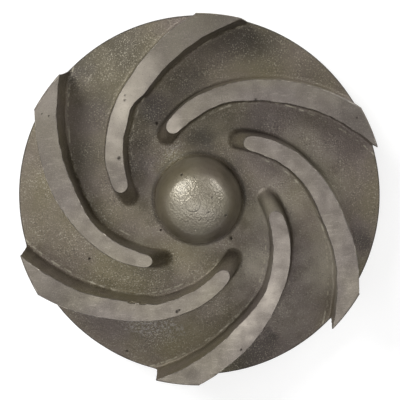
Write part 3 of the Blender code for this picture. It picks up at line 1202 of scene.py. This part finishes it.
def hang_light(name, azimuth, elevation, width, energy):
    """A square soft light that looks at the casting."""
    data = bpy.data.lights.new(name, "AREA")
    data.size = width
    data.energy = energy
    lamp = bpy.data.objects.new(name, data)
    bpy.context.collection.objects.link(lamp)
    turn, rise = math.radians(azimuth), math.radians(elevation)
    aside = math.cos(rise)
    lamp.location = Vector((math.cos(turn) * aside, math.sin(turn) * aside, math.sin(rise))) * LAMP_DISTANCE
    lamp.rotation_euler = lamp.location.to_track_quat("Z", "Y").to_euler()


def light_studio(studio):
    for *shape, power_name in LAMPS:
        hang_light(*shape, getattr(studio, power_name))
    world = bpy.data.worlds.new("studio")
    world.use_nodes = True
    fill_in(world.node_tree.nodes["Background"], {"Color": WHITE, "Strength": studio.ambient})
    bpy.context.scene.world = world
    bpy.context.scene.view_settings.view_transform = "Standard"


class IMPELLER_OT_blank(bpy.types.Operator):
    """Raises the nose, the shroud and the rear hub as one turned blank"""

    bl_idname = "impeller.blank"
    bl_label = "Nose and shroud"

    def execute(self, context):
        turned_solid("blank", blank_profile(context.scene.impeller_sizes), SIDES["blank"])
        return {"FINISHED"}


class IMPELLER_OT_vanes(bpy.types.Operator):
    """Moulds the six vanes, each with the faults of its own mould, along their spiral"""

    bl_idname = "impeller.vanes"
    bl_label = "Vanes"

    def execute(self, context):
        make_vanes(context.scene.impeller_sizes)
        return {"FINISHED"}


class IMPELLER_OT_casting(bpy.types.Operator):
    """Melts the blank and the vanes into one rough casting"""

    bl_idname = "impeller.casting"
    bl_label = "Rough casting"

    def execute(self, context):
        pieces = [find(f"vane_{i + 1}") for i in range(VANE_COUNT)] + [find("blank")]
        casting = fuse(pieces, "impeller", context.scene.impeller_sizes)
        casting.data.materials.clear()
        casting.data.materials.append(material_named("cast_skin"))
        return {"FINISHED"}


class IMPELLER_OT_turning(bpy.types.Operator):
    """Turns the rim, the vane tops, the back and the hub, and lays open the chips of the vane tops"""

    bl_idname = "impeller.turning"
    bl_label = "Turned and ground faces"

    def execute(self, context):
        size = context.scene.impeller_sizes
        casting = find("impeller")
        turned = material_named("turned_face")
        cut(casting, turned_ring("front_cut", front_tool(size), SIDES["front"]), turned)
        cut(casting, turned_ring("back_cut", back_tool(size), SIDES["back"]), turned)
        cut(casting, chip_tool(size), material_named("cast_skin"))
        return {"FINISHED"}


class IMPELLER_OT_bore(bpy.types.Operator):
    """Drills the blind bore in the hub and cuts its thread"""

    bl_idname = "impeller.bore"
    bl_label = "Threaded bore"

    def execute(self, context):
        size = context.scene.impeller_sizes
        casting = find("impeller")
        turned = material_named("turned_face")
        cut(casting, turned_solid("bore_cut", bore_tool(size), SIDES["bore"]), turned)
        cut(casting, thread_tool(size), turned)
        return {"FINISHED"}


class IMPELLER_OT_wear(bpy.types.Operator):
    """Breaks the edges of the machined faces and smooths the shading"""

    bl_idname = "impeller.wear"
    bl_label = "Worn edges"

    def execute(self, context):
        size = context.scene.impeller_sizes
        casting = find("impeller")
        ground = material_named("ground_face")
        worn = material_named("worn_edge")
        casting.data.materials.append(ground)
        casting.data.materials.append(worn)
        machined = material_index(casting, material_named("turned_face"))
        grind = material_index(casting, ground)
        level = size.vane_top - size.broken_edge
        rim = size.outer_radius - 2.0 * size.rim_edge

        def is_top(face):
            flat = face.normal.z > LEVEL_FACE and abs(face.calc_center_median().z - level) < MERGING
            return flat and face.material_index == machined

        def is_rim(face):
            upright = abs(face.normal.z) < UPRIGHT_FACE and face.calc_center_median().xy.length > rim
            return upright and face.material_index == machined

        take(casting)
        edit_all()
        bpy.ops.mesh.remove_doubles(threshold=MERGING)
        pick(casting, is_top, "FACE")
        assign_material(casting, ground)
        break_edges(casting, lambda face: face.material_index == grind, size.broken_edge, worn)
        # The rim's broken edge takes the cast skin, whose painted shade makes it a dark outline
        break_edges(casting, is_rim, size.rim_edge, material_named("cast_skin"))
        take(casting)
        bpy.ops.object.shade_smooth_by_angle(angle=SMOOTH_ANGLE)
        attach(casting, "root")
        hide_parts(NODE)
        return {"FINISHED"}


class IMPELLER_OT_finish(bpy.types.Operator):
    """Mixes the finishes of the cast skin, the ground and turned faces and the worn edges"""

    bl_idname = "impeller.finish"
    bl_label = "Finishes"

    def execute(self, context):
        size = context.scene.impeller_sizes
        finish = context.scene.impeller_finish
        guide_group(size)
        grain_group()
        tarnish_group()
        marks_group()
        skin_material(size, finish)
        ground_material(finish)
        turned_material(finish)
        edge_material(finish)
        return {"FINISHED"}


class IMPELLER_OT_studio(bpy.types.Operator):
    """Lays the floor, aims the camera and hangs the lights"""

    bl_idname = "impeller.studio"
    bl_label = "Floor, camera and lights"

    def execute(self, context):
        lay_floor(context.scene.impeller_studio)
        aim_camera(context.scene.impeller_sizes)
        light_studio(context.scene.impeller_studio)
        return {"FINISHED"}


STEPS = (
    IMPELLER_OT_blank,
    IMPELLER_OT_vanes,
    IMPELLER_OT_casting,
    IMPELLER_OT_turning,
    IMPELLER_OT_bore,
    IMPELLER_OT_wear,
    IMPELLER_OT_finish,
    IMPELLER_OT_studio,
)


class IMPELLER_PT_panel(bpy.types.Panel):
    """Sizes, finishes and steps of the impeller"""

    bl_idname = "IMPELLER_PT_panel"
    bl_label = "Pump impeller"
    bl_space_type = "VIEW_3D"
    bl_region_type = "UI"
    bl_category = "Impeller"

    def draw(self, context):
        for title, group in (
            ("Sizes", context.scene.impeller_sizes),
            ("Finish", context.scene.impeller_finish),
            ("Studio", context.scene.impeller_studio),
        ):
            box = self.layout.box()
            box.label(text=title)
            for name in group.__annotations__:
                box.prop(group, name)
        for step in STEPS:
            self.layout.operator(step.bl_idname)


CLASSES = (ImpellerSizes, ImpellerFinish, ImpellerStudio, *STEPS, IMPELLER_PT_panel)


def register():
    for kind in CLASSES:
        bpy.utils.register_class(kind)
    bpy.types.Scene.impeller_sizes = PointerProperty(type=ImpellerSizes)
    bpy.types.Scene.impeller_finish = PointerProperty(type=ImpellerFinish)
    bpy.types.Scene.impeller_studio = PointerProperty(type=ImpellerStudio)


def unregister():
    del bpy.types.Scene.impeller_studio
    del bpy.types.Scene.impeller_finish
    del bpy.types.Scene.impeller_sizes
    for kind in reversed(CLASSES):
        bpy.utils.unregister_class(kind)


def main():
    register()
    bpy.ops.impeller.blank()
    bpy.ops.impeller.vanes()
    bpy.ops.impeller.casting()
    bpy.ops.impeller.turning()
    bpy.ops.impeller.bore()
    bpy.ops.impeller.wear()
    bpy.ops.impeller.finish()
    bpy.ops.impeller.studio()


if __name__ == "__main__":
    main()
